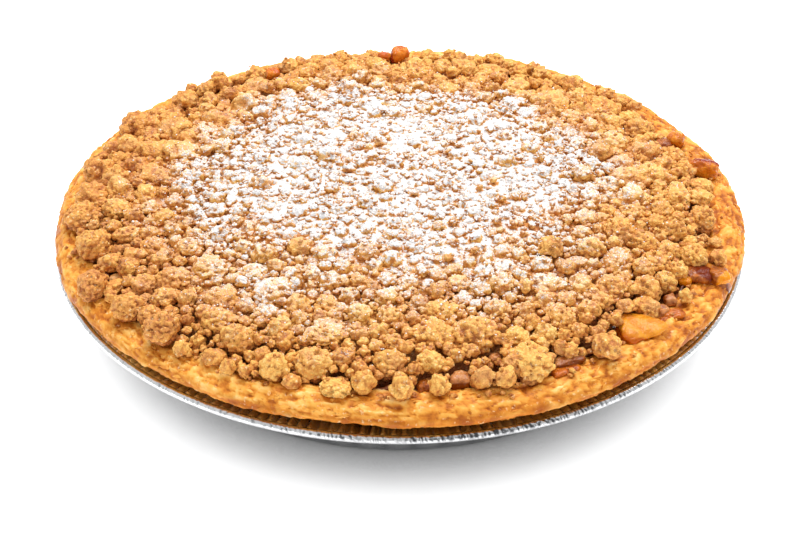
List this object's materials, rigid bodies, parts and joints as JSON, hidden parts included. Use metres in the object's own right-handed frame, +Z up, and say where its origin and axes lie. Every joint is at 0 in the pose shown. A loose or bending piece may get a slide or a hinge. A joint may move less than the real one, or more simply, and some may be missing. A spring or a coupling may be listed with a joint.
{
  "type": "crumb apple pie",
  "caption": "Round apple pie in a fluted foil pan, with a thick pastry rim, a heaped crumb topping and cooked apple pieces showing at its edge.",
  "frame": {"origin": "centre of the pan's flat base, on its underside", "axes": "+Z up through the middle of the pie; -Y towards the side shown nearest in the picture, +X to the right of it"},
  "size_m": [0.2446, 0.2446, 0.0561],
  "materials": {
    "foil": "thin bright foil, pressed with flutes and ribs, bead rolled and crimped",
    "pastry": "baked golden pastry, flaky and slightly rough, darker in patches",
    "filling": "cooked apple in brown syrup, glossy and translucent",
    "crumbs": "baked golden streusel crumbs, matt and granular, dusted white with powdered sugar in the middle",
    "apple": "soft cooked apple, amber to pink-brown, moist"
  },
  "bodies": {
    "root": {"foil_pan": "foil", "pastry_crust": "pastry", "apple_filling": "filling", "crumb_topping": "crumbs", "apple_piece_back": "apple", "apple_piece_back_left": "apple", "apple_wedge_right_back": "apple", "apple_piece_right_back_inner": "apple", "apple_piece_right_back_rim": "apple", "apple_piece_right": "apple", "apple_piece_right_rim": "apple", "apple_dice_right_front_upper": "apple", "apple_dice_right_front_lower": "apple", "apple_piece_right_front": "apple", "apple_slice_front_right": "apple", "apple_piece_front_right": "apple", "apple_piece_front": "apple", "apple_slice_front": "apple", "apple_piece_left": "apple", "apple_piece_left_front": "apple"}
  },
  "joints": []
}
